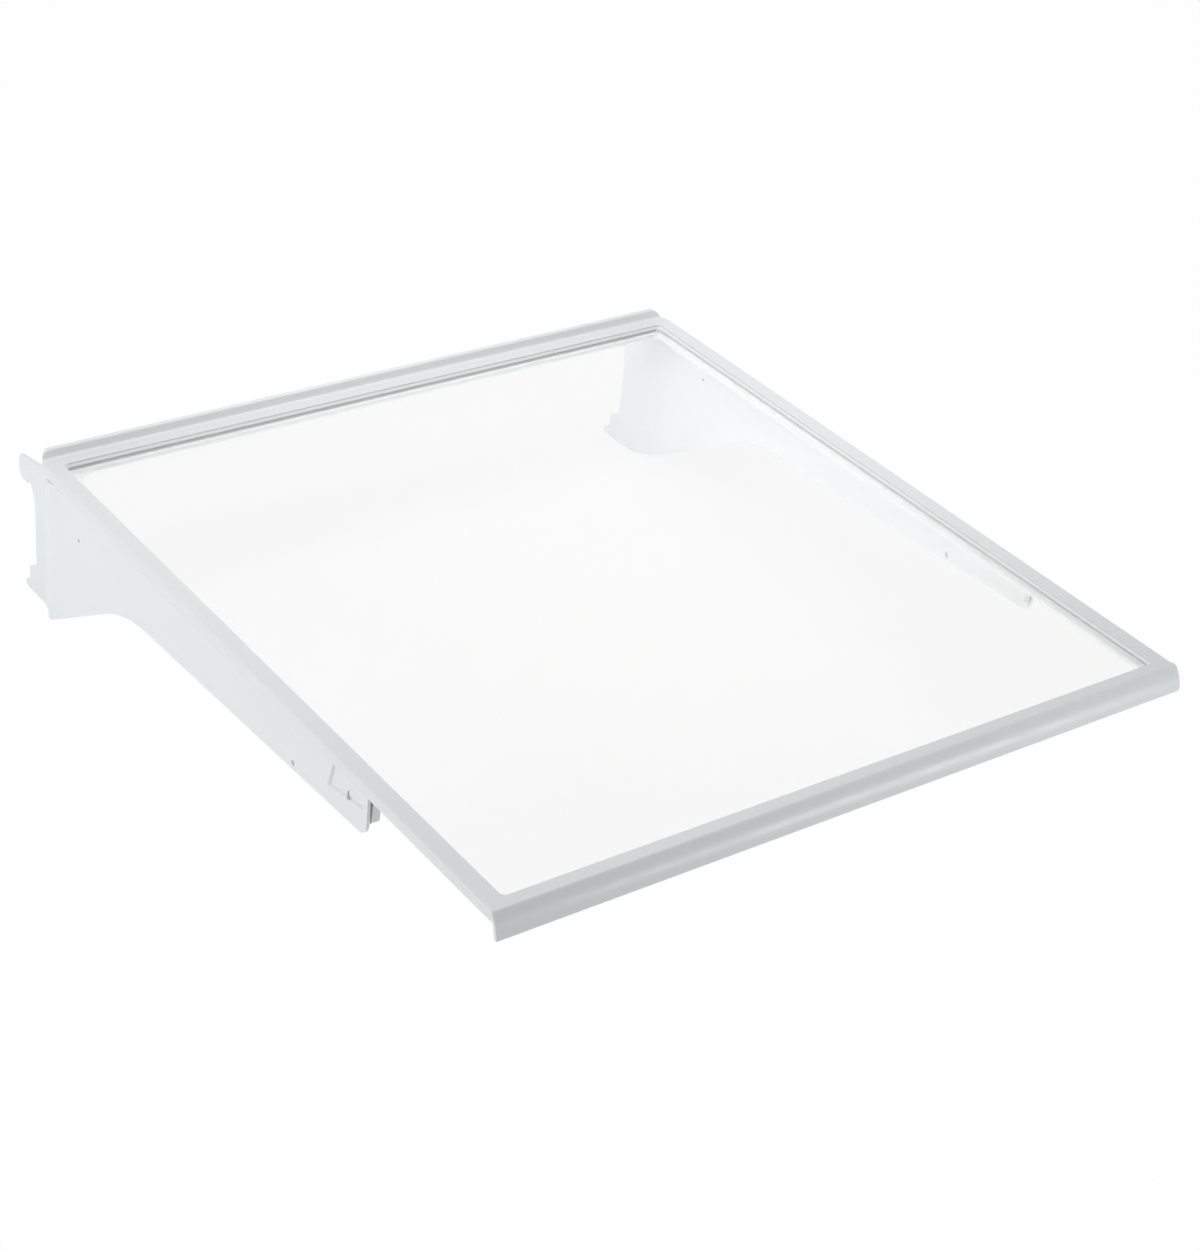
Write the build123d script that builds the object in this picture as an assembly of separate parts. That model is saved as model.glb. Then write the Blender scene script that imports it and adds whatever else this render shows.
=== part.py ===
from build123d import *
import os
from math import atan2, degrees

# Half-width refrigerator shelf: a glass pane lies in a one-piece moulded frame, and the frame sits
# on the folded top flanges of two stamped steel brackets that hook into slotted wall rails.
# Millimetres, +Z up, +X to the right seen from the front, +Y towards the wall.
# The origin is midway between the brackets, on the front face of the wall rails and level with
# the lower edges of the slots that the hooks sit on.

# Frame, seen from above
shelf_width = 384.7
side_rim = 9.3
front_rim = 6.5
rear_rim = 7.6
opening_depth = 390.5
opening_corner_radius = 3.0
rear_corner_radius = 8.0
wall_gap = 25.6
rim_height = 26.7

# Frame, in section
lip_height = 4.6
rim_edge_radius = 1.8
web_thickness = 4.1
inner_step = 0.9
inner_slope_drop = 1.2
inner_slope_run = 0.9
ledge_thickness = 2.2
side_ledge = 2.5
front_ledge = 2.5
rear_ledge = 2.8
ledge_corner_radius = 4.0
ledge_gusset_radius = 15.0
rear_wall = 2.6

# Ridge along the back of the frame
ridge_thickness = 2.8
ridge_height = 5.6
ridge_inset = 2.2
ridge_left_radius = 5.0
ridge_right_radius = 10.0
ridge_top_radius = 1.2
ridge_foot_radius = 1.3

# Curved skirt along the front of the frame
skirt_drop = 12.0
skirt_reach = 5.1
skirt_bulge = 1.3
skirt_wall = 2.5
skirt_root = 1.0
skirt_top_radius = 2.0
skirt_bottom_radius = 1.0
skirt_end_radius = 0.8

# Bosses under the frame, whose studs locate the front ends of the brackets
boss_thickness = 4.0
boss_drop = 15.4
boss_overhang = 0.3
boss_slant = 0.8
boss_corner_radius = 1.5
boss_gap = 0.2
stud_radius = 1.7
stud_gap = 0.3
stud_setback = 0.5

# Glass pane
glass_thickness = 4.0
glass_gap = 0.4
glass_chamfer = 0.4

# Brackets, seen from the side
sheet = 1.5
bracket_reach = 339.2
arm_tip_rise = 1.4
arm_tip_radius = 6.0
arm_root_reach = 118.1
arm_root_drop = 10.3
arm_root_radius = 88.0
foot_drop = 63.7
foot_length = 32.1
foot_radius = 38.0

# Hook at the top of each bracket, and the bearing edge and locating tab at its foot
wall_sheet = 1.2
notch_width = 3.5
hook_reach = 9.8
hook_tip_rise = 10.9
hook_tip_radius = 3.0
hook_nose_radius = 4.0
hook_lip_drop = 1.8
relief_depth = 7.8
relief_top = 13.0
relief_bottom = 45.3
bearing_top = 50.3
bearing_bottom = 57.6
tab_reach = 4.6
tab_top = 60.5
tab_radius = 0.8

# Folds of each bracket
bracket_inset = 0.55
joggle_depth = 6.9
joggle_front = 36.5
joggle_length = 16.0
joggle_radius = 25.0
flange_rear = 48.0
flange_front_gap = 4.0
flange_gap = 0.35
bend_radius = 0.5
fold_height = 3.0

# Pressed recess at the front end of each bracket, and the holes in the arm
recess_depth = 1.0
recess_wall = 0.6
recess_slope = 45.0
recess_front = 3.0
recess_top_length = 28.1
recess_low_length = 32.0
recess_rear_rise = 8.4
recess_front_rise = 13.5
stud_hole_setback = 15.7
stud_hole_rise = 13.0
paint_hole_reach = 278.0
paint_hole_rise = 1.5
paint_hole_radius = 1.5
rear_hole_reach = 71.1
rear_hole_rise = 4.1
rear_hole_radius = 0.9

# Levels
rim_top = rim_height
rim_bottom = rim_top - lip_height
glass_top = rim_top - inner_step - inner_slope_drop
ledge_top = glass_top - glass_thickness
ledge_bottom = ledge_top - ledge_thickness
ridge_crest = rim_top + ridge_height

# Places from the wall forward
ridge_back = -wall_gap
ridge_front = ridge_back - ridge_thickness
opening_back = ridge_front - rear_rim
opening_front = opening_back - opening_depth
rim_front = opening_front - front_rim
block_front = rim_front + skirt_wall
rabbet_back = opening_back - inner_slope_run
rabbet_front = opening_front + inner_slope_run

# Places across the shelf
half_width = shelf_width / 2
opening_width = shelf_width - 2 * side_rim
rabbet_width = opening_width - 2 * inner_slope_run
web_outer = rabbet_width / 2 + web_thickness
arm_outer = half_width - bracket_inset
arm_inner = arm_outer - sheet
arm_middle = arm_outer - sheet / 2
recess_floor = arm_outer - recess_depth
boss_outer = arm_inner - recess_depth - boss_gap
flange_width = arm_outer - web_outer - flange_gap
flange_front = bracket_reach - recess_low_length - flange_front_gap

# Length by which a cutting shape runs past the face that it cuts
past = 1.0


def plan_rectangle(width, front, back, radius, level):
    """Round-cornered rectangle, centred across the shelf and lying at one level."""
    middle = (front + back) / 2
    return Plane.XY.offset(level) * Pos(0, middle) * RectangleRounded(width, back - front, radius)


def make_pane():
    """Tempered glass pane with ground edges, dropped into the frame's rabbet."""
    outline = plan_rectangle(
        rabbet_width - 2 * glass_gap,
        rabbet_front + glass_gap,
        rabbet_back - glass_gap,
        opening_corner_radius - glass_gap,
        ledge_top,
    )
    pane = extrude(outline, glass_thickness)
    flat_faces = pane.faces().sort_by(Axis.Z)
    return chamfer(flat_faces[0].edges() + flat_faces[-1].edges(), glass_chamfer)


def rim_outline(level):
    """Outline of the rim without the front skirt, rounded at its rear corners."""
    with BuildSketch(Plane.XY.offset(level)) as outline:
        with Locations((0, (ridge_back + block_front) / 2)):
            Rectangle(shelf_width, ridge_back - block_front)
        fillet(outline.vertices().group_by(Axis.Y)[-1], rear_corner_radius)
    return outline.sketch


def make_rim():
    """Flat rim with rounded outer edges, and the web below it that carries the ledge."""
    rim = extrude(rim_outline(rim_bottom), lip_height)
    top_edges = rim.faces().sort_by(Axis.Z)[-1].edges().sort_by(Axis.Y)
    rim = fillet(top_edges[1:], rim_edge_radius)
    web = plan_rectangle(
        2 * web_outer,
        rabbet_front - web_thickness,
        rabbet_back + web_thickness,
        opening_corner_radius + web_thickness,
        ledge_bottom,
    )
    return rim + extrude(web, rim_top - inner_step - ledge_bottom)


def make_ridge():
    """Upright ridge along the back that keeps goods off the wall."""
    foot = ridge_front - rear_rim / 2
    corners = [
        (ridge_back, rim_bottom),
        (ridge_back, ridge_crest),
        (ridge_front, ridge_crest),
        (ridge_front, rim_top),
        (foot, rim_top),
        (foot, rim_bottom),
    ]
    with BuildSketch(Plane.YZ) as section:
        with BuildLine():
            Polyline(corners, close=True)
        make_face()
        fillet(section.vertices().group_by(Axis.Y)[-1], ridge_top_radius)
        fillet(section.vertices().sort_by_distance((ridge_front, rim_top))[0], ridge_foot_radius)
    bar = extrude(section.sketch, half_width, both=True)
    end = half_width - ridge_inset
    with BuildSketch(Plane.XZ) as front_view:
        with Locations((0, ridge_crest)):
            Rectangle(2 * end, 2 * ridge_crest, align=(Align.CENTER, Align.MAX))
        fillet(front_view.vertices().sort_by_distance((-end, ridge_crest))[0], ridge_left_radius)
        fillet(front_view.vertices().sort_by_distance((end, ridge_crest))[0], ridge_right_radius)
    ends = extrude(front_view.sketch, -foot)
    return bar & ends & extrude(rim_outline(rim_bottom), ridge_crest - rim_bottom)


def make_skirt():
    """Front skirt: a bulging wall that leans forward below the rim, open behind."""
    top = (rim_front, rim_top)
    bottom = (rim_front - skirt_reach, rim_top - skirt_drop)
    inner_bottom = (bottom[0] + skirt_wall, bottom[1])
    root = (rim_front - skirt_root, rim_bottom)
    with BuildSketch(Plane.YZ) as section:
        with BuildLine():
            SagittaArc(top, bottom, -skirt_bulge)
            Polyline(bottom, inner_bottom, root, (block_front, rim_bottom), (block_front, rim_top), top)
        make_face()
        fillet(section.vertices().sort_by_distance(top)[0], skirt_top_radius)
        fillet(section.vertices().group_by(Axis.Y)[0], skirt_bottom_radius)
    skirt = extrude(section.sketch, half_width, both=True)
    ends = skirt.faces().sort_by(Axis.X)
    front_edges = (ends[0].edges() + ends[-1].edges()).filter_by(lambda edge: edge.center().Y < rim_front)
    return fillet(front_edges, skirt_end_radius)


def make_boss():
    """Right-hand boss below the rim, with the stud that enters the bracket's front hole."""
    front = -bracket_reach - boss_overhang
    rear = -bracket_reach + recess_top_length - recess_wall
    bottom = rim_bottom - boss_drop
    corners = [
        (rear, rim_bottom),
        (rear, bottom),
        (front + boss_slant, bottom),
        (front, rim_bottom),
    ]
    with BuildSketch(Plane.YZ.offset(boss_outer - boss_thickness)) as side_view:
        with BuildLine():
            Polyline(corners, close=True)
        make_face()
        fillet(side_view.vertices().group_by(Axis.Y)[0], boss_corner_radius)
    boss = extrude(side_view.sketch, boss_thickness)
    stud_length = recess_floor - stud_setback - boss_outer
    stud_place = Plane.YZ.offset(boss_outer) * Pos(-bracket_reach + stud_hole_setback, stud_hole_rise)
    return boss + extrude(stud_place * Circle(stud_radius), stud_length)


def ledge_outline(level):
    """Inner edge of the ledge, with a wide gusset in the left rear corner."""
    half = rabbet_width / 2 - side_ledge
    front = rabbet_front + front_ledge
    back = rabbet_back - rear_ledge
    with BuildSketch(Plane.XY.offset(level)) as outline:
        with Locations((0, (front + back) / 2)):
            Rectangle(2 * half, back - front)
        corners = outline.vertices().sort_by_distance((-half, back))
        fillet(corners[1:], ledge_corner_radius)
        fillet(outline.vertices().sort_by_distance((-half, back))[0], ledge_gusset_radius)
    return outline.sketch


def opening_cuts():
    """Stepped opening of the frame, from the rim's edge down through the ledge."""
    slope_angle = degrees(atan2(inner_slope_run, inner_slope_drop))
    step_level = rim_top - inner_step
    mouth = plan_rectangle(opening_width, opening_front, opening_back, opening_corner_radius, step_level)
    rabbet = plan_rectangle(rabbet_width, rabbet_front, rabbet_back, opening_corner_radius, ledge_top)
    upper = extrude(mouth, inner_step + past)
    slope = extrude(mouth, -inner_slope_drop, taper=slope_angle)
    lower = extrude(rabbet, glass_thickness)
    through = extrude(ledge_outline(ledge_bottom - past), ledge_thickness + 2 * past)
    return upper + slope + lower + through


def rear_channel():
    """Channel cored out of the rim's underside, between the rear web and the ridge."""
    front = rabbet_back + web_thickness
    middle = (front + ridge_front) / 2
    length = 2 * (half_width - rear_corner_radius)
    place = Plane.XY.offset(rim_bottom - past) * Pos(0, middle)
    return extrude(place * Rectangle(length, ridge_front - front), lip_height - rear_wall + past)


def make_frame():
    """One-piece moulded frame: rim, ridge, skirt, ledge and the two bosses."""
    right_boss = make_boss()
    frame = make_rim() + make_ridge() + make_skirt()
    frame -= opening_cuts()
    frame -= rear_channel()
    return frame + right_boss + mirror(right_boss, about=Plane.YZ)


def bracket_outline():
    """Side view of a bracket, from the hook round the foot and the arm back to the notch."""
    notch_front = wall_sheet - notch_width
    relief_start = (-relief_depth, -relief_top)
    corners = [
        (relief_start, 0),
        ((-relief_depth, -relief_bottom), tab_radius),
        ((0, -bearing_top), tab_radius),
        ((0, -bearing_bottom), tab_radius),
        ((tab_reach, -tab_top), tab_radius),
        ((tab_reach, -foot_drop), tab_radius),
        ((-foot_length, -foot_drop), foot_radius),
        ((-arm_root_reach, -arm_root_drop), arm_root_radius),
        ((-bracket_reach, arm_tip_rise), arm_tip_radius),
        ((-bracket_reach, rim_bottom), 0),
        ((-flange_rear, rim_bottom), 0),
        ((hook_reach, hook_tip_rise), hook_tip_radius),
        ((hook_reach, -hook_lip_drop), hook_nose_radius),
        ((wall_sheet, -hook_lip_drop), 0),
        ((wall_sheet, 0), 0),
        ((notch_front, 0), 0),
    ]
    places = [place for place, radius in corners]
    radii = [radius for place, radius in corners[1:-1]]
    with BuildSketch(Plane.YZ) as outline:
        with BuildLine():
            FilletPolyline(places, radius=radii)
            TangentArc(relief_start, (notch_front, 0), tangent=(0, 1))
        make_face()
    return outline.sketch


def bracket_sheet():
    """Steel sheet joggled inwards ahead of the hook, cut to the side view's outline."""
    hook_middle = arm_middle - joggle_depth
    with BuildSketch(Plane.XY.offset(-foot_drop)) as plan:
        with BuildLine():
            FilletPolyline(
                (arm_middle, -bracket_reach),
                (arm_middle, -joggle_front),
                (hook_middle, -joggle_front + joggle_length),
                (hook_middle, hook_reach),
                radius=joggle_radius,
            )
        trace(line_width=sheet)
    return extrude(plan.sketch, foot_drop + rim_bottom) & extrude(bracket_outline(), arm_outer)


def bracket_flange():
    """Inward fold along the top of the arm, which the frame sits on."""
    with BuildSketch(Plane.XZ.offset(flange_rear)) as section:
        with BuildLine():
            FilletPolyline(
                (arm_middle, rim_bottom - fold_height),
                (arm_middle, rim_bottom - sheet / 2),
                (arm_outer - flange_width, rim_bottom - sheet / 2),
                radius=bend_radius + sheet / 2,
            )
        trace(line_width=sheet)
    return extrude(section.sketch, flange_front - flange_rear)


def recess_outline(margin):
    """Side view of the pressed recess, grown by a margin and running out past the arm's top edge."""
    front = -bracket_reach + recess_front
    top = rim_bottom + recess_depth + past
    corners = [
        (front, top),
        (-bracket_reach + recess_top_length, top),
        (-bracket_reach + recess_low_length, recess_rear_rise),
        (front, recess_front_rise),
    ]
    with BuildSketch() as outline:
        with BuildLine():
            Polyline(corners, close=True)
        make_face()
        offset(amount=margin, kind=Kind.INTERSECTION)
    return outline.sketch


def side_hole(reach, rise, radius):
    """Round hole through the arm, seen from the side."""
    return extrude(Plane.YZ.offset(web_outer) * Pos(-reach, rise) * Circle(radius), half_width - web_outer)


def make_bracket():
    """Right-hand bracket: joggled sheet, top flange, pressed recess and holes."""
    length = flange_front - flange_rear
    place = Plane.XY.offset(rim_bottom - fold_height) * Pos(arm_middle, -flange_rear - length / 2)
    bracket = bracket_sheet() - extrude(place * Rectangle(2 * sheet, length), fold_height)
    bracket += bracket_flange()
    hollow = Plane.YZ.offset(arm_outer) * recess_outline(0)
    bracket -= extrude(hollow, -recess_depth, taper=recess_slope)
    raised = Plane.YZ.offset(arm_inner) * recess_outline(recess_wall)
    bulge = extrude(raised, -recess_depth, taper=recess_slope)
    bracket += bulge & extrude(bracket_outline(), arm_outer)
    bracket -= side_hole(bracket_reach - stud_hole_setback, stud_hole_rise, stud_radius + stud_gap)
    bracket -= side_hole(paint_hole_reach, paint_hole_rise, paint_hole_radius)
    bracket -= side_hole(rear_hole_reach, rear_hole_rise, rear_hole_radius)
    return bracket


right_bracket = make_bracket()
pieces = {
    "glass_pane": make_pane(),
    "shelf_frame": make_frame(),
    "right_bracket": right_bracket,
    "left_bracket": mirror(right_bracket, about=Plane.YZ),
}

os.makedirs("parts", exist_ok=True)
for name, piece in pieces.items():
    export_step(piece, f"parts/{name}.step")
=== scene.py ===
"""Finishes and studio stage for a half-width glass refrigerator shelf on stamped steel brackets.

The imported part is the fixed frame. Its moulded frame and brackets keep their CAD meshes and get
procedural finishes here, and geometry nodes make its pane. Lengths are metres in the part's own axes,
with +Y towards the wall and +Z up.
"""

from math import radians

import bmesh
import bpy
from bpy.props import FloatProperty, FloatVectorProperty, PointerProperty
from bpy.types import Operator, Panel, PropertyGroup
from mathutils import Euler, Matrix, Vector


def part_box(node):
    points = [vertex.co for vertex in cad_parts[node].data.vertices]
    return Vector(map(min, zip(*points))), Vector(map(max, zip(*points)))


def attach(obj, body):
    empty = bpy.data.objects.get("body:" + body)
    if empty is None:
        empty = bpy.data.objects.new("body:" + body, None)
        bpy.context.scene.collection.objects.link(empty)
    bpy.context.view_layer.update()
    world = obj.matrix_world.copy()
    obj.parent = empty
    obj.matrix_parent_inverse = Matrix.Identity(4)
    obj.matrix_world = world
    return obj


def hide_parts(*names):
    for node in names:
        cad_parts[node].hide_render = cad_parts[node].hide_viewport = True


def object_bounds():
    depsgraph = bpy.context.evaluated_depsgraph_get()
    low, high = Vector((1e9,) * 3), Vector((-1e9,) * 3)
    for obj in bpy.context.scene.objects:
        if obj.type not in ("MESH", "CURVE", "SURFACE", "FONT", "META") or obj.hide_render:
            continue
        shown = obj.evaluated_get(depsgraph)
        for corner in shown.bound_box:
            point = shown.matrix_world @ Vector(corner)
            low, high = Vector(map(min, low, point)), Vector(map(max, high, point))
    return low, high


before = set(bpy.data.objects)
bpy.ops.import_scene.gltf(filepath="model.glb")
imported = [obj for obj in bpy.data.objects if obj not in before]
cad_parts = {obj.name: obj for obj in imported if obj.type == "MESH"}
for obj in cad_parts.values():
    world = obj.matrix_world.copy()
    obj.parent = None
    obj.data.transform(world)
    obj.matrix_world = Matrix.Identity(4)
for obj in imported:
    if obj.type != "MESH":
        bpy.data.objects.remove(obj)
cad_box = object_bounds()

bl_info = {
    "name": "Refrigerator Shelf",
    "version": (1, 0, 0),
    "blender": (4, 5, 0),
    "location": "3D View > Sidebar > Shelf",
    "description": "Finishes and stages a glass refrigerator shelf on its wall brackets",
    "category": "Object",
}


# Soft boxes: place, the point that each faces, width, height and the share that fades along each rim
soft_boxes = {
    "over_lamp": ((0.06, -0.15, 0.46), (0.06, 0.0, 0.0), 0.71, 0.37, 0.3),
    "left_lamp": ((-1.5, 0.1, 0.4), (-0.2, -0.2, 0.0), 1.2, 0.9, 0.3),
    "front_lamp": ((0.38, -1.0, 0.025), (0.0, -0.43, 0.01), 0.4, 0.14, 0.0),
    "panel_lamp": ((2.05, 2.37, 2.0), (2.05, 2.37, 0.0), 2.23, 2.37, 0.15),
}

# Coats: refraction, least and most roughness, scale of the colour drift and depth of the grain
coat_ior = 1.5
moulding_roughness = (0.28, 0.40)
moulding_drift_scale = 9.0
moulding_grain_depth = 0.00008
paint_roughness = (0.36, 0.52)
paint_drift_scale = 14.0
paint_peel_depth = 0.0002

# Handling marks run along the shelf's depth
mark_scale = (60.0, 14.0, 60.0)

# Glass: refraction, and the scratches that the grinding wheel leaves along the edges
glass_ior = 1.52
scratch_scale = (400.0, 400.0, 3000.0)
scratch_strength = 0.2
scratch_depth = 0.00005

# Mesh of the pane: steps round a corner, welding distance, and the facing above which a face is flat
corner_steps = 6
weld_distance = 0.00001
flat_facing = 0.99

# Stage
plain_white = (1.0, 1.0, 1.0, 1.0)
floor_half_width = 6.0
floor_divisions = 8
sensor_width = 36.0
nearest_view = 0.01


class MouldingSettings(PropertyGroup):
    """Finish of the white moulded frame."""

    colour: FloatVectorProperty(
        name="Colour",
        description="Colour of the moulded plastic",
        subtype="COLOR",
        size=4,
        min=0.0,
        max=1.0,
        default=(0.745, 0.769, 0.769, 1.0),
    )
    shade: FloatVectorProperty(
        name="Shade",
        description="Slightly deeper colour that the plastic drifts to",
        subtype="COLOR",
        size=4,
        min=0.0,
        max=1.0,
        default=(0.722, 0.748, 0.748, 1.0),
    )
    grain_size: FloatProperty(
        name="Grain Size",
        description="Size of the fine grain left by the mould",
        subtype="DISTANCE",
        unit="LENGTH",
        min=0.0001,
        default=0.0005,
    )
    grain_strength: FloatProperty(
        name="Grain Strength",
        description="How strongly the grain shows",
        subtype="FACTOR",
        min=0.0,
        max=1.0,
        default=0.12,
    )


class PaintSettings(PropertyGroup):
    """Finish of the painted steel brackets."""

    colour: FloatVectorProperty(
        name="Colour",
        description="Colour of the powder coat",
        subtype="COLOR",
        size=4,
        min=0.0,
        max=1.0,
        default=(0.755, 0.79, 0.80, 1.0),
    )
    shade: FloatVectorProperty(
        name="Shade",
        description="Slightly deeper colour where the coat lies thinner",
        subtype="COLOR",
        size=4,
        min=0.0,
        max=1.0,
        default=(0.735, 0.772, 0.782, 1.0),
    )
    peel_size: FloatProperty(
        name="Peel Size",
        description="Size of the orange peel in the powder coat",
        subtype="DISTANCE",
        unit="LENGTH",
        min=0.0001,
        default=0.0014,
    )
    peel_strength: FloatProperty(
        name="Peel Strength",
        description="How strongly the orange peel shows",
        subtype="FACTOR",
        min=0.0,
        max=1.0,
        default=0.10,
    )


class GlassSettings(PropertyGroup):
    """Finish of the tempered glass pane."""

    tint: FloatVectorProperty(
        name="Tint",
        description="Colour that the clear pane gives to what is behind it",
        subtype="COLOR",
        size=4,
        min=0.0,
        max=1.0,
        default=(0.982, 0.982, 0.979, 1.0),
    )
    edge_tint: FloatVectorProperty(
        name="Edge Tint",
        description="Pale colour of the ground edges",
        subtype="COLOR",
        size=4,
        min=0.0,
        max=1.0,
        default=(0.65, 0.68, 0.67, 1.0),
    )
    # Painted light: the left and right ground edges are paler than the front and rear ones because of
    # how the light falls on them.
    side_edge_painted_light: FloatVectorProperty(
        name="Side Edge Painted Light",
        description="Paler colour of the ground edges on the left and right",
        subtype="COLOR",
        size=4,
        min=0.0,
        max=1.0,
        default=(0.80, 0.82, 0.81, 1.0),
    )
    # Painted shade: a dark band along the top of the ground edges stands in for the shadowed gap under
    # the frame's rim.
    painted_seam_shade: FloatVectorProperty(
        name="Painted Seam Shade",
        description="Dark colour of the ground edges along the upper face",
        subtype="COLOR",
        size=4,
        min=0.0,
        max=1.0,
        default=(0.07, 0.09, 0.085, 1.0),
    )
    # Painted shade and painted light: the dark band made paler on the left and right edges, where more
    # light falls on them.
    side_painted_seam_shade: FloatVectorProperty(
        name="Side Painted Seam Shade",
        description="Paler colour of that seam on the left and right edges",
        subtype="COLOR",
        size=4,
        min=0.0,
        max=1.0,
        default=(0.54, 0.56, 0.55, 1.0),
    )
    # Painted shade: how much of the edge's height the dark band covers, and how softly it fades.
    painted_seam_share: FloatProperty(
        name="Painted Seam Share",
        description="Share of the edge's height that is dark",
        subtype="FACTOR",
        min=0.0,
        max=1.0,
        default=0.15,
    )
    painted_seam_blend: FloatProperty(
        name="Painted Seam Blend",
        description="Share of the edge's height over which the seam fades, to each side",
        subtype="FACTOR",
        min=0.0,
        max=1.0,
        default=0.12,
    )
    edge_roughness: FloatProperty(
        name="Edge Roughness",
        description="Frosting of the ground edges",
        subtype="FACTOR",
        min=0.0,
        max=1.0,
        default=0.6,
    )
    corner_radius: FloatProperty(
        name="Corner Radius",
        description="Radius of the pane's corners, inside the chamfer",
        subtype="DISTANCE",
        unit="LENGTH",
        min=0.0,
        default=0.0022,
    )
    chamfer: FloatProperty(
        name="Chamfer",
        description="Width of the ground chamfer along the pane's edges",
        subtype="DISTANCE",
        unit="LENGTH",
        min=0.0,
        default=0.0002,
    )
    air_gap: FloatProperty(
        name="Air Gap",
        description="Air left between the pane and the ledge that it lies on",
        subtype="DISTANCE",
        unit="LENGTH",
        min=0.0,
        default=0.0001,
    )


class StageSettings(PropertyGroup):
    """Floor, lamps and camera."""

    floor_colour: FloatVectorProperty(
        name="Floor Colour",
        description="Colour of the plain floor",
        subtype="COLOR",
        size=4,
        min=0.0,
        max=1.0,
        default=(0.9, 0.9, 0.9, 1.0),
    )
    floor_gap: FloatProperty(
        name="Floor Gap",
        description="Height of the brackets' feet above the floor",
        subtype="DISTANCE",
        unit="LENGTH",
        min=0.0,
        default=0.0002,
    )
    floor_white: FloatProperty(
        name="Floor White",
        description="Share of plain white in what the camera sees of the floor",
        subtype="FACTOR",
        min=0.0,
        max=1.0,
        default=0.98,
    )
    # Painted shade: through the glass the floor shows an even darker tone, standing in for the shelf's
    # shadow on the floor under it.
    under_glass_painted_shade_share: FloatProperty(
        name="Under Glass Painted Shade Share",
        description="Share of an even tone in what shows of the floor through the glass",
        subtype="FACTOR",
        min=0.0,
        max=1.0,
        default=0.85,
    )
    under_glass_painted_shade: FloatProperty(
        name="Under Glass Painted Shade",
        description="How light that even tone is",
        subtype="FACTOR",
        min=0.0,
        max=1.0,
        default=0.87,
    )
    ambient: FloatProperty(
        name="Ambient",
        description="Strength of the even light from all round",
        min=0.0,
        default=0.44,
    )
    over_lamp: FloatProperty(
        name="Over Lamp",
        description="Power of the soft box over the glass",
        subtype="POWER",
        unit="POWER",
        min=0.0,
        default=1.40,
    )
    left_lamp: FloatProperty(
        name="Left Lamp",
        description="Power of the soft box on the left",
        subtype="POWER",
        unit="POWER",
        min=0.0,
        default=9.3,
    )
    front_lamp: FloatProperty(
        name="Front Lamp",
        description="Power of the low soft box in front, to the right",
        subtype="POWER",
        unit="POWER",
        min=0.0,
        default=1.26,
    )
    panel_lamp: FloatProperty(
        name="Panel Lamp",
        description="Power of the far panel that the whole pane mirrors",
        subtype="POWER",
        unit="POWER",
        min=0.0,
        default=5.01,
    )
    camera_place: FloatVectorProperty(
        name="Camera Place",
        description="Where the camera stands",
        subtype="TRANSLATION",
        unit="LENGTH",
        size=3,
        default=(-0.7024, -1.1213, 0.6995),
    )
    camera_turn: FloatVectorProperty(
        name="Camera Turn",
        description="How the camera is turned",
        subtype="EULER",
        unit="ROTATION",
        size=3,
        default=(radians(57.8637), radians(-5.1394), radians(-35.3616)),
    )
    camera_lens: FloatProperty(
        name="Camera Lens",
        description="Focal length in millimetres on a 36 mm sensor",
        min=1.0,
        default=79.2,
    )


class ShelfSettings(PropertyGroup):
    """All the settings of the shelf."""

    moulding: PointerProperty(type=MouldingSettings)
    paint: PointerProperty(type=PaintSettings)
    glass: PointerProperty(type=GlassSettings)
    stage: PointerProperty(type=StageSettings)


def add_node(tree, kind, values=None, **options):
    """Add a node to a tree, set its options and the values of its unlinked inputs."""
    made = tree.nodes.new(kind)
    for name, value in options.items():
        setattr(made, name, value)
    for name, value in (values or {}).items():
        made.inputs[name].default_value = value
    return made


def new_material(name):
    """Empty material with an output and a Principled shader."""
    material = bpy.data.materials.new(name)
    material.use_nodes = True
    tree = material.node_tree
    tree.nodes.clear()
    output = add_node(tree, "ShaderNodeOutputMaterial")
    shader = add_node(tree, "ShaderNodeBsdfPrincipled")
    tree.links.new(shader.outputs["BSDF"], output.inputs["Surface"])
    return material, tree, shader


def dress(node_names, material):
    """Put a material in every slot of the named CAD nodes."""
    for name in node_names:
        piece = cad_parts[name]
        if not piece.material_slots:
            piece.data.materials.append(material)
        for slot in piece.material_slots:
            slot.material = material


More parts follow.
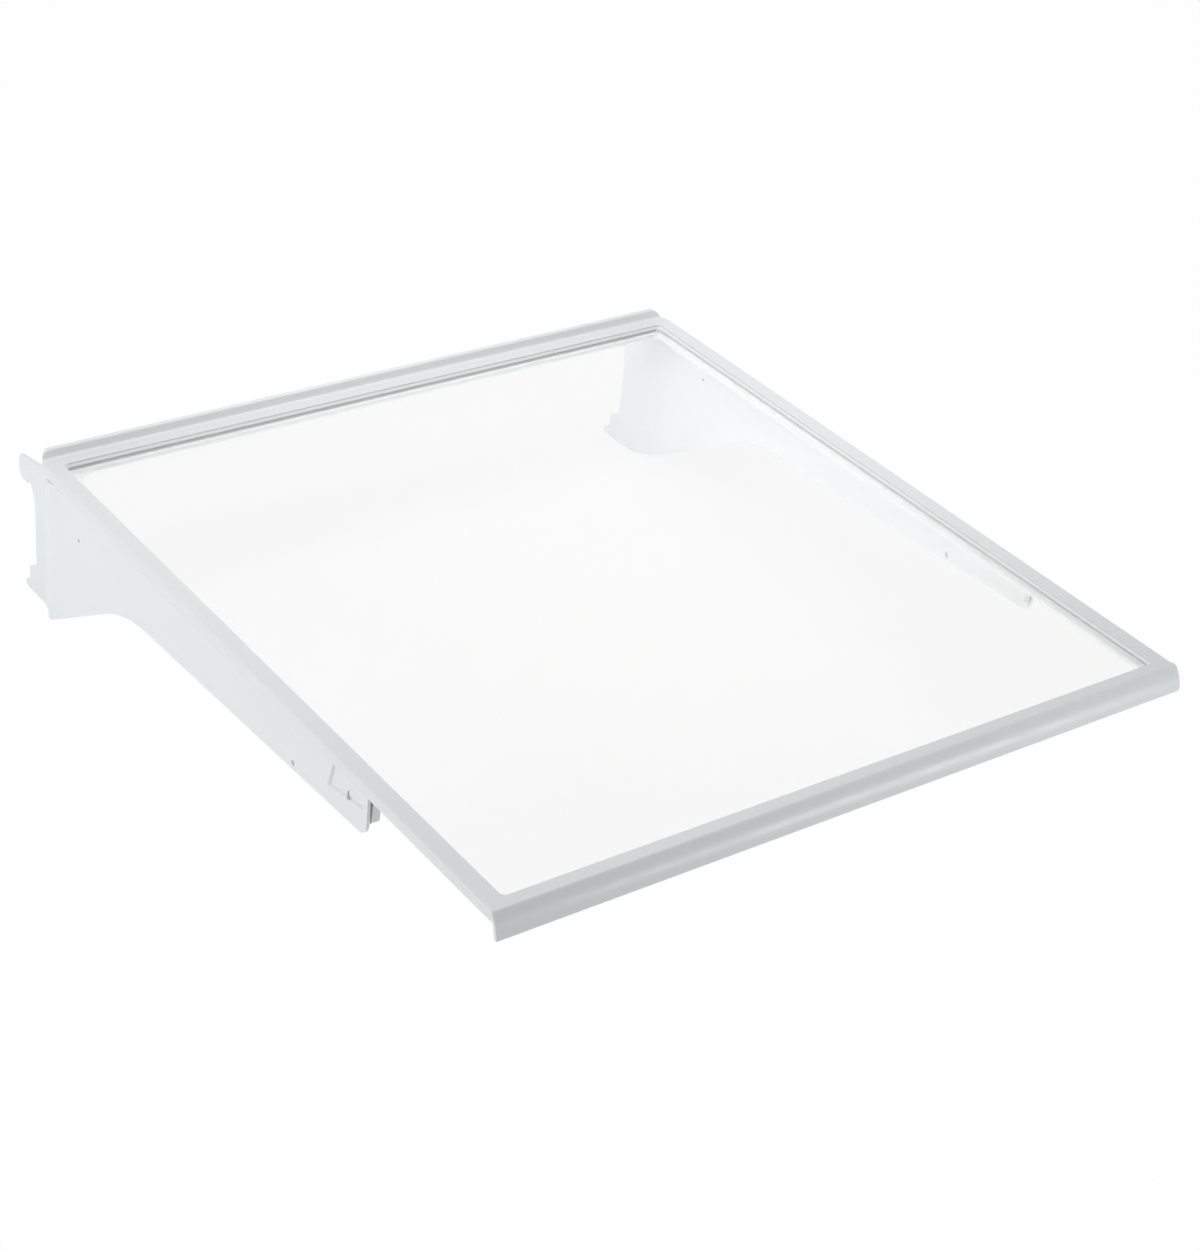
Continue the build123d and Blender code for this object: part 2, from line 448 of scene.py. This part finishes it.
def surface_variation_group():
    """Shared effect: slow drift of colour, handling marks in the gloss and a fine surface grain."""
    name = "Surface Variation"
    if name in bpy.data.node_groups:
        return bpy.data.node_groups[name]
    tree = bpy.data.node_groups.new(name, "ShaderNodeTree")
    sockets = [
        ("Coordinates", "INPUT", "NodeSocketVector"),
        ("Colour", "INPUT", "NodeSocketColor"),
        ("Shade", "INPUT", "NodeSocketColor"),
        ("Drift Scale", "INPUT", "NodeSocketFloat"),
        ("Grain Scale", "INPUT", "NodeSocketFloat"),
        ("Least Roughness", "INPUT", "NodeSocketFloat"),
        ("Most Roughness", "INPUT", "NodeSocketFloat"),
        ("Colour", "OUTPUT", "NodeSocketColor"),
        ("Roughness", "OUTPUT", "NodeSocketFloat"),
        ("Height", "OUTPUT", "NodeSocketFloat"),
    ]
    for socket_name, way, kind in sockets:
        tree.interface.new_socket(socket_name, in_out=way, socket_type=kind)
    entry = add_node(tree, "NodeGroupInput")
    leave = add_node(tree, "NodeGroupOutput")
    drift = add_node(tree, "ShaderNodeTexNoise", {"Detail": 3.0, "Roughness": 0.55})
    blend = add_node(tree, "ShaderNodeMix", data_type="RGBA")
    stretch = add_node(tree, "ShaderNodeMapping")
    stretch.inputs["Scale"].default_value = mark_scale
    marks = add_node(tree, "ShaderNodeTexNoise", {"Scale": 1.0, "Detail": 5.0, "Roughness": 0.62})
    gloss = add_node(tree, "ShaderNodeMapRange", {"From Min": 0.35, "From Max": 0.70})
    grain = add_node(tree, "ShaderNodeTexNoise", {"Detail": 2.0, "Roughness": 0.5})
    link = tree.links.new
    link(entry.outputs["Coordinates"], drift.inputs["Vector"])
    link(entry.outputs["Drift Scale"], drift.inputs["Scale"])
    link(drift.outputs["Fac"], blend.inputs["Factor"])
    link(entry.outputs["Colour"], blend.inputs["A"])
    link(entry.outputs["Shade"], blend.inputs["B"])
    link(blend.outputs["Result"], leave.inputs["Colour"])
    link(entry.outputs["Coordinates"], stretch.inputs["Vector"])
    link(stretch.outputs["Vector"], marks.inputs["Vector"])
    link(marks.outputs["Fac"], gloss.inputs["Value"])
    link(entry.outputs["Least Roughness"], gloss.inputs["To Min"])
    link(entry.outputs["Most Roughness"], gloss.inputs["To Max"])
    link(gloss.outputs["Result"], leave.inputs["Roughness"])
    link(entry.outputs["Coordinates"], grain.inputs["Vector"])
    link(entry.outputs["Grain Scale"], grain.inputs["Scale"])
    link(grain.outputs["Fac"], leave.inputs["Height"])
    return tree


def coated_material(name, colour, shade, drift_scale, grain_size, roughness, bump_strength, bump_depth):
    """White finish whose colour, gloss and grain come from the shared surface variation."""
    material, tree, shader = new_material(name)
    shader.inputs["IOR"].default_value = coat_ior
    place = add_node(tree, "ShaderNodeTexCoord")
    variation = add_node(tree, "ShaderNodeGroup", node_tree=surface_variation_group())
    variation.inputs["Colour"].default_value = colour
    variation.inputs["Shade"].default_value = shade
    variation.inputs["Drift Scale"].default_value = drift_scale
    variation.inputs["Grain Scale"].default_value = 1.0 / grain_size
    variation.inputs["Least Roughness"].default_value = roughness[0]
    variation.inputs["Most Roughness"].default_value = roughness[1]
    bump = add_node(tree, "ShaderNodeBump", {"Strength": bump_strength, "Distance": bump_depth})
    link = tree.links.new
    link(place.outputs["Object"], variation.inputs["Coordinates"])
    link(variation.outputs["Colour"], shader.inputs["Base Color"])
    link(variation.outputs["Roughness"], shader.inputs["Roughness"])
    link(variation.outputs["Height"], bump.inputs["Height"])
    link(bump.outputs["Normal"], shader.inputs["Normal"])
    return material


def glass_material(name, tint):
    """Clear glass that bends light, and lets the light of lamps through to what lies under it."""
    material, tree, shader = new_material(name)
    output = tree.nodes["Material Output"]
    shader.inputs["Base Color"].default_value = tint
    shader.inputs["Roughness"].default_value = 0.0
    shader.inputs["Transmission Weight"].default_value = 1.0
    shader.inputs["IOR"].default_value = glass_ior
    path = add_node(tree, "ShaderNodeLightPath")
    clear = add_node(tree, "ShaderNodeBsdfTransparent", {"Color": tint})
    mix = add_node(tree, "ShaderNodeMixShader")
    link = tree.links.new
    link(path.outputs["Is Shadow Ray"], mix.inputs["Fac"])
    link(shader.outputs["BSDF"], mix.inputs[1])
    link(clear.outputs["BSDF"], mix.inputs[2])
    link(mix.outputs["Shader"], output.inputs["Surface"])
    return material


def ground_material(name, tints, side_painted_light_tints, painted_seam_level, painted_seam_blend, roughness):
    """Frosted glass of the ground edges: pale, with painted shade above a level for the dark gap under
    the rim, painted light on the left and right edges, and the scratches of the wheel.
    """
    material, tree, shader = new_material(name)
    place = add_node(tree, "ShaderNodeTexCoord")
    parts = add_node(tree, "ShaderNodeSeparateXYZ")
    # Painted shade: mask of the dark band along the upper part of the ground edges.
    upper = add_node(tree, "ShaderNodeMapRange", interpolation_type="SMOOTHSTEP")
    upper.inputs["From Min"].default_value = painted_seam_level - painted_seam_blend
    upper.inputs["From Max"].default_value = painted_seam_level + painted_seam_blend
    colour = add_node(tree, "ShaderNodeMix", data_type="RGBA")
    # Painted light: edges facing left or right take the paler tints.
    facing = add_node(tree, "ShaderNodeSeparateXYZ")
    side_painted_light_mask = add_node(tree, "ShaderNodeMath", operation="ABSOLUTE")
    stretch = add_node(tree, "ShaderNodeMapping")
    stretch.inputs["Scale"].default_value = scratch_scale
    scratches = add_node(tree, "ShaderNodeTexNoise", {"Scale": 1.0, "Detail": 3.0})
    bump = add_node(tree, "ShaderNodeBump", {"Strength": scratch_strength, "Distance": scratch_depth})
    shader.inputs["Roughness"].default_value = roughness
    shader.inputs["IOR"].default_value = glass_ior
    link = tree.links.new
    link(place.outputs["Object"], parts.inputs["Vector"])
    link(parts.outputs["Z"], upper.inputs["Value"])
    link(upper.outputs["Result"], colour.inputs["Factor"])
    link(place.outputs["Normal"], facing.inputs["Vector"])
    link(facing.outputs["X"], side_painted_light_mask.inputs[0])
    for tint, side_painted_light_tint, end in zip(tints, side_painted_light_tints, ("A", "B")):
        blend = add_node(tree, "ShaderNodeMix", data_type="RGBA")
        blend.inputs["A"].default_value = tint
        blend.inputs["B"].default_value = side_painted_light_tint
        link(side_painted_light_mask.outputs["Value"], blend.inputs["Factor"])
        link(blend.outputs["Result"], colour.inputs[end])
    link(colour.outputs["Result"], shader.inputs["Base Color"])
    link(place.outputs["Object"], stretch.inputs["Vector"])
    link(stretch.outputs["Vector"], scratches.inputs["Vector"])
    link(scratches.outputs["Fac"], bump.inputs["Height"])
    link(bump.outputs["Normal"], shader.inputs["Normal"])
    return material


def pane_tree():
    """Geometry nodes of the pane: a round-cornered sheet with ground, chamfered edges."""
    tree = bpy.data.node_groups.new("Ground Pane", "GeometryNodeTree")
    sockets = [
        ("Geometry", "NodeSocketGeometry"),
        ("Width", "NodeSocketFloat"),
        ("Depth", "NodeSocketFloat"),
        ("Thickness", "NodeSocketFloat"),
        ("Corner Radius", "NodeSocketFloat"),
        ("Chamfer", "NodeSocketFloat"),
        ("Place", "NodeSocketVector"),
        ("Face Glass", "NodeSocketMaterial"),
        ("Edge Glass", "NodeSocketMaterial"),
    ]
    for name, kind in sockets:
        tree.interface.new_socket(name, in_out="INPUT", socket_type=kind)
    tree.interface.new_socket("Geometry", in_out="OUTPUT", socket_type="NodeSocketGeometry")
    link = tree.links.new
    entry = add_node(tree, "NodeGroupInput")
    leave = add_node(tree, "NodeGroupOutput")

    def maths(operation, first, second):
        made = add_node(tree, "ShaderNodeMath", operation=operation)
        for socket, value in zip(made.inputs, (first, second)):
            if isinstance(value, float):
                socket.default_value = value
            else:
                link(value, socket)
        return made.outputs["Value"]

    def scaled(mesh, top, across, along):
        """Grow or shrink the newest faces about the pane's middle."""
        factor = add_node(tree, "ShaderNodeCombineXYZ", {"Z": 1.0})
        place = add_node(tree, "GeometryNodeInputPosition")
        product = add_node(tree, "ShaderNodeVectorMath", operation="MULTIPLY")
        move = add_node(tree, "GeometryNodeSetPosition")
        link(across, factor.inputs["X"])
        link(along, factor.inputs["Y"])
        link(place.outputs["Position"], product.inputs[0])
        link(factor.outputs["Vector"], product.inputs[1])
        link(mesh, move.inputs["Geometry"])
        link(top, move.inputs["Selection"])
        link(product.outputs["Vector"], move.inputs["Position"])
        return move.outputs["Geometry"]

    def raised(mesh, top, height):
        """Extrude the newest faces upwards."""
        step = add_node(tree, "GeometryNodeExtrudeMesh", {"Individual": False})
        link(mesh, step.inputs["Mesh"])
        if top is not None:
            link(top, step.inputs["Selection"])
        link(height, step.inputs["Offset Scale"])
        return step.outputs["Mesh"], step.outputs["Top"]

    chamfer = entry.outputs["Chamfer"]
    cut = maths("MULTIPLY", chamfer, 2.0)
    face_width = maths("SUBTRACT", entry.outputs["Width"], cut)
    face_depth = maths("SUBTRACT", entry.outputs["Depth"], cut)
    wider = maths("DIVIDE", entry.outputs["Width"], face_width)
    deeper = maths("DIVIDE", entry.outputs["Depth"], face_depth)
    narrower = maths("DIVIDE", face_width, entry.outputs["Width"])
    shorter = maths("DIVIDE", face_depth, entry.outputs["Depth"])
    outline = add_node(tree, "GeometryNodeCurvePrimitiveQuadrilateral")
    link(face_width, outline.inputs["Width"])
    link(face_depth, outline.inputs["Height"])
    rounded = add_node(tree, "GeometryNodeFilletCurve", {"Count": corner_steps}, mode="POLY")
    link(outline.outputs["Curve"], rounded.inputs["Curve"])
    link(entry.outputs["Corner Radius"], rounded.inputs["Radius"])
    face = add_node(tree, "GeometryNodeFillCurve", mode="NGONS")
    link(rounded.outputs["Curve"], face.inputs["Curve"])
    mesh, top = raised(face.outputs["Mesh"], None, chamfer)
    mesh = scaled(mesh, top, wider, deeper)
    mesh, top = raised(mesh, top, maths("SUBTRACT", entry.outputs["Thickness"], cut))
    mesh, top = raised(mesh, top, chamfer)
    mesh = scaled(mesh, top, narrower, shorter)
    under = add_node(tree, "GeometryNodeFlipFaces")
    link(face.outputs["Mesh"], under.inputs["Mesh"])
    whole = add_node(tree, "GeometryNodeJoinGeometry")
    link(mesh, whole.inputs["Geometry"])
    link(under.outputs["Mesh"], whole.inputs["Geometry"])
    closed = add_node(tree, "GeometryNodeMergeByDistance", {"Distance": weld_distance})
    link(whole.outputs["Geometry"], closed.inputs["Geometry"])
    put = add_node(tree, "GeometryNodeTransform")
    link(closed.outputs["Geometry"], put.inputs["Geometry"])
    link(entry.outputs["Place"], put.inputs["Translation"])
    real = add_node(tree, "GeometryNodeRealizeInstances")
    link(put.outputs["Geometry"], real.inputs["Geometry"])
    clear = add_node(tree, "GeometryNodeSetMaterial")
    link(real.outputs["Geometry"], clear.inputs["Geometry"])
    link(entry.outputs["Face Glass"], clear.inputs["Material"])
    facing = add_node(tree, "GeometryNodeInputNormal")
    parts = add_node(tree, "ShaderNodeSeparateXYZ")
    link(facing.outputs["Normal"], parts.inputs["Vector"])
    steep = add_node(tree, "ShaderNodeMath", operation="ABSOLUTE")
    link(parts.outputs["Z"], steep.inputs[0])
    upright = maths("LESS_THAN", steep.outputs["Value"], flat_facing)
    ground = add_node(tree, "GeometryNodeSetMaterial")
    link(clear.outputs["Geometry"], ground.inputs["Geometry"])
    link(upright, ground.inputs["Selection"])
    link(entry.outputs["Edge Glass"], ground.inputs["Material"])
    link(ground.outputs["Geometry"], leave.inputs["Geometry"])
    return tree


def made_by_nodes(name, tree, values):
    """Plain mesh object at the origin, from a geometry node tree and the values of its inputs."""
    carrier = bpy.data.objects.new(name + " nodes", bpy.data.meshes.new(name + " nodes"))
    bpy.context.scene.collection.objects.link(carrier)
    modifier = carrier.modifiers.new(tree.name, "NODES")
    modifier.node_group = tree
    for item in tree.interface.items_tree:
        if item.in_out == "INPUT" and item.name in values:
            modifier[item.identifier] = values[item.name]
    graph = bpy.context.evaluated_depsgraph_get()
    mesh = bpy.data.meshes.new_from_object(carrier.evaluated_get(graph), depsgraph=graph)
    mesh.name = name
    carrier.modifiers.remove(modifier)
    bpy.data.objects.remove(carrier)
    piece = bpy.data.objects.new(name, mesh)
    bpy.context.scene.collection.objects.link(piece)
    return piece


class SHELF_OT_frame_finish(Operator):
    """Give the moulded frame its white satin plastic"""

    bl_idname = "shelf.frame_finish"
    bl_label = "Finish Moulded Frame"

    def execute(self, context):
        settings = context.scene.shelf.moulding
        material = coated_material(
            "white moulded plastic",
            settings.colour,
            settings.shade,
            drift_scale=moulding_drift_scale,
            grain_size=settings.grain_size,
            roughness=moulding_roughness,
            bump_strength=settings.grain_strength,
            bump_depth=moulding_grain_depth,
        )
        dress(["shelf_frame"], material)
        return {"FINISHED"}


class SHELF_OT_bracket_finish(Operator):
    """Give the two brackets their white powder coat"""

    bl_idname = "shelf.bracket_finish"
    bl_label = "Finish Painted Brackets"

    def execute(self, context):
        settings = context.scene.shelf.paint
        material = coated_material(
            "white powder coat",
            settings.colour,
            settings.shade,
            drift_scale=paint_drift_scale,
            grain_size=settings.peel_size,
            roughness=paint_roughness,
            bump_strength=settings.peel_strength,
            bump_depth=paint_peel_depth,
        )
        dress(["left_bracket", "right_bracket"], material)
        return {"FINISHED"}


class SHELF_OT_glass_pane(Operator):
    """Make the tempered pane, clear on its faces and frosted on its ground edges"""

    bl_idname = "shelf.glass_pane"
    bl_label = "Make Glass Pane"

    def execute(self, context):
        settings = context.scene.shelf.glass
        low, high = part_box("glass_pane")
        height = high.z - low.z
        # The ground edges carry painted shade in a band along their top and painted light on the left
        # and right.
        edge = ground_material(
            "ground glass edge",
            tints=(settings.edge_tint, settings.painted_seam_shade),
            side_painted_light_tints=(settings.side_edge_painted_light, settings.side_painted_seam_shade),
            painted_seam_level=high.z - settings.painted_seam_share * height,
            painted_seam_blend=settings.painted_seam_blend * height,
            roughness=settings.edge_roughness,
        )
        values = {
            "Width": high.x - low.x,
            "Depth": high.y - low.y,
            "Thickness": height - settings.air_gap,
            "Corner Radius": settings.corner_radius,
            "Chamfer": settings.chamfer,
            "Place": ((low.x + high.x) / 2, (low.y + high.y) / 2, low.z + settings.air_gap),
            "Face Glass": glass_material("clear tempered glass", settings.tint),
            "Edge Glass": edge,
        }
        pane = made_by_nodes("clear_pane", pane_tree(), values)
        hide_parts("glass_pane")
        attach(pane, "root")
        return {"FINISHED"}


def seen_share(tree, direct, through):
    """Share of plain white that is seen or mirrored, and another that shows through the glass.

    Both are for paths that have not met a matt surface, so the white adds no light to the shelf.
    """
    path = add_node(tree, "ShaderNodeLightPath")
    either = add_node(tree, "ShaderNodeMath", operation="MAXIMUM")
    seen = add_node(tree, "ShaderNodeMath", operation="MULTIPLY")
    seen.inputs[1].default_value = direct
    share = add_node(tree, "ShaderNodeMix", data_type="FLOAT")
    share.inputs["B"].default_value = through
    before_matt = add_node(tree, "ShaderNodeMath", operation="LESS_THAN")
    before_matt.inputs[1].default_value = 0.5
    kept = add_node(tree, "ShaderNodeMath", operation="MULTIPLY")
    link = tree.links.new
    link(path.outputs["Is Camera Ray"], either.inputs[0])
    link(path.outputs["Is Glossy Ray"], either.inputs[1])
    link(either.outputs["Value"], seen.inputs[0])
    link(path.outputs["Is Transmission Ray"], share.inputs["Factor"])
    link(seen.outputs["Value"], share.inputs["A"])
    link(path.outputs["Diffuse Depth"], before_matt.inputs[0])
    link(share.outputs["Result"], kept.inputs[0])
    link(before_matt.outputs["Value"], kept.inputs[1])
    return kept.outputs["Value"]


def make_floor(settings):
    """Plain pale floor just below the brackets' feet, showing an even darker tone through the glass as
    painted shade of the shelf's shadow.
    """
    level = cad_box[0][2] - settings.floor_gap
    mesh = bpy.data.meshes.new("floor")
    shape = bmesh.new()
    bmesh.ops.create_grid(
        shape, x_segments=floor_divisions, y_segments=floor_divisions, size=floor_half_width
    )
    bmesh.ops.translate(shape, verts=shape.verts, vec=(0.0, 0.0, level))
    shape.to_mesh(mesh)
    shape.free()
    floor = bpy.data.objects.new("floor", mesh)
    bpy.context.scene.collection.objects.link(floor)
    material = bpy.data.materials.new("pale floor")
    material.use_nodes = True
    tree = material.node_tree
    tree.nodes.clear()
    output = add_node(tree, "ShaderNodeOutputMaterial")
    matt = add_node(tree, "ShaderNodeBsdfDiffuse", {"Color": settings.floor_colour})
    white = add_node(tree, "ShaderNodeEmission", {"Color": plain_white})
    path = add_node(tree, "ShaderNodeLightPath")
    # Painted shade: rays through the glass see the floor's white dimmed to the even darker tone.
    tone = add_node(tree, "ShaderNodeMix", {"A": 1.0, "B": settings.under_glass_painted_shade}, data_type="FLOAT")
    mix = add_node(tree, "ShaderNodeMixShader")
    link = tree.links.new
    link(path.outputs["Is Transmission Ray"], tone.inputs["Factor"])
    link(tone.outputs["Result"], white.inputs["Strength"])
    link(seen_share(tree, settings.floor_white, settings.under_glass_painted_shade_share), mix.inputs["Fac"])
    link(matt.outputs["BSDF"], mix.inputs[1])
    link(white.outputs["Emission"], mix.inputs[2])
    link(mix.outputs["Shader"], output.inputs["Surface"])
    mesh.materials.append(material)


def make_world(settings):
    """White surroundings: plain white where they are seen, and an even soft light on the shelf."""
    world = bpy.data.worlds.new("white room")
    bpy.context.scene.world = world
    world.use_nodes = True
    tree = world.node_tree
    tree.nodes.clear()
    output = add_node(tree, "ShaderNodeOutputWorld")
    light = add_node(tree, "ShaderNodeBackground", {"Color": plain_white, "Strength": settings.ambient})
    white = add_node(tree, "ShaderNodeBackground", {"Color": plain_white, "Strength": 1.0})
    mix = add_node(tree, "ShaderNodeMixShader")
    tree.links.new(seen_share(tree, 1.0, 1.0), mix.inputs["Fac"])
    tree.links.new(light.outputs["Background"], mix.inputs[1])
    tree.links.new(white.outputs["Background"], mix.inputs[2])
    tree.links.new(mix.outputs["Shader"], output.inputs["Surface"])


def fade_rims(lamp, fade):
    """Dim a soft box towards its rims, so that its mirror image has no hard edge."""
    lamp.use_nodes = True
    tree = lamp.node_tree
    link = tree.links.new
    place = add_node(tree, "ShaderNodeTexCoord")
    parts = add_node(tree, "ShaderNodeSeparateXYZ")
    both = add_node(tree, "ShaderNodeMath", operation="MULTIPLY")
    middle = 0.5
    link(place.outputs["UV"], parts.inputs["Vector"])
    for axis, factor in zip("XY", both.inputs):
        offset = add_node(tree, "ShaderNodeMath", operation="SUBTRACT")
        offset.inputs[1].default_value = middle
        away = add_node(tree, "ShaderNodeMath", operation="ABSOLUTE")
        dim = add_node(tree, "ShaderNodeMapRange", interpolation_type="SMOOTHSTEP")
        dim.inputs["From Min"].default_value = middle - fade
        dim.inputs["From Max"].default_value = middle
        dim.inputs["To Min"].default_value = 1.0
        dim.inputs["To Max"].default_value = 0.0
        link(parts.outputs[axis], offset.inputs[0])
        link(offset.outputs["Value"], away.inputs[0])
        link(away.outputs["Value"], dim.inputs["Value"])
        link(dim.outputs["Result"], factor)
    link(both.outputs["Value"], tree.nodes["Emission"].inputs["Strength"])


def make_lamp(name, place, aim, width, height, fade, power):
    """Soft box: an area lamp that faces a point and gives the same power whatever part of it fades."""
    lamp = bpy.data.lights.new(name, "AREA")
    lamp.shape = "RECTANGLE"
    lamp.size = width
    lamp.size_y = height
    lamp.energy = power / (1.0 - fade) ** 2
    if fade > 0.0:
        fade_rims(lamp, fade)
    holder = bpy.data.objects.new(name, lamp)
    holder.location = place
    holder.rotation_euler = (Vector(aim) - Vector(place)).to_track_quat("-Z", "Y").to_euler()
    bpy.context.scene.collection.objects.link(holder)
    return holder


def make_camera(settings):
    """Camera at the photograph's viewing angle."""
    camera = bpy.data.cameras.new("camera")
    camera.lens = settings.camera_lens
    camera.sensor_width = sensor_width
    camera.clip_start = nearest_view
    holder = bpy.data.objects.new("camera", camera)
    holder.location = settings.camera_place
    holder.rotation_euler = Euler(settings.camera_turn)
    bpy.context.scene.collection.objects.link(holder)
    bpy.context.scene.camera = holder


class SHELF_OT_stage(Operator):
    """Add the floor, the white surroundings, the soft boxes and the camera"""

    bl_idname = "shelf.stage"
    bl_label = "Set Stage"

    def execute(self, context):
        settings = context.scene.shelf.stage
        context.scene.view_settings.view_transform = "Standard"
        make_floor(settings)
        make_world(settings)
        for name, box in soft_boxes.items():
            make_lamp(name, *box, getattr(settings, name))
        make_camera(settings)
        return {"FINISHED"}


class SHELF_PT_panel(Panel):
    """Sidebar panel with the shelf's settings and steps"""

    bl_label = "Refrigerator Shelf"
    bl_space_type = "VIEW_3D"
    bl_region_type = "UI"
    bl_category = "Shelf"

    def draw(self, context):
        settings = context.scene.shelf
        steps = (
            (SHELF_OT_frame_finish, settings.moulding),
            (SHELF_OT_bracket_finish, settings.paint),
            (SHELF_OT_glass_pane, settings.glass),
            (SHELF_OT_stage, settings.stage),
        )
        for step, group in steps:
            box = self.layout.box()
            for name in group.bl_rna.properties.keys():
                if name not in ("rna_type", "name"):
                    box.prop(group, name)
            box.operator(step.bl_idname)


classes = (
    MouldingSettings,
    PaintSettings,
    GlassSettings,
    StageSettings,
    ShelfSettings,
    SHELF_OT_frame_finish,
    SHELF_OT_bracket_finish,
    SHELF_OT_glass_pane,
    SHELF_OT_stage,
    SHELF_PT_panel,
)


def register():
    for each in classes:
        bpy.utils.register_class(each)
    bpy.types.Scene.shelf = PointerProperty(type=ShelfSettings)


def unregister():
    del bpy.types.Scene.shelf
    for each in reversed(classes):
        bpy.utils.unregister_class(each)


def main():
    register()
    bpy.ops.shelf.frame_finish()
    bpy.ops.shelf.bracket_finish()
    bpy.ops.shelf.glass_pane()
    bpy.ops.shelf.stage()


if __name__ == "__main__":
    main()
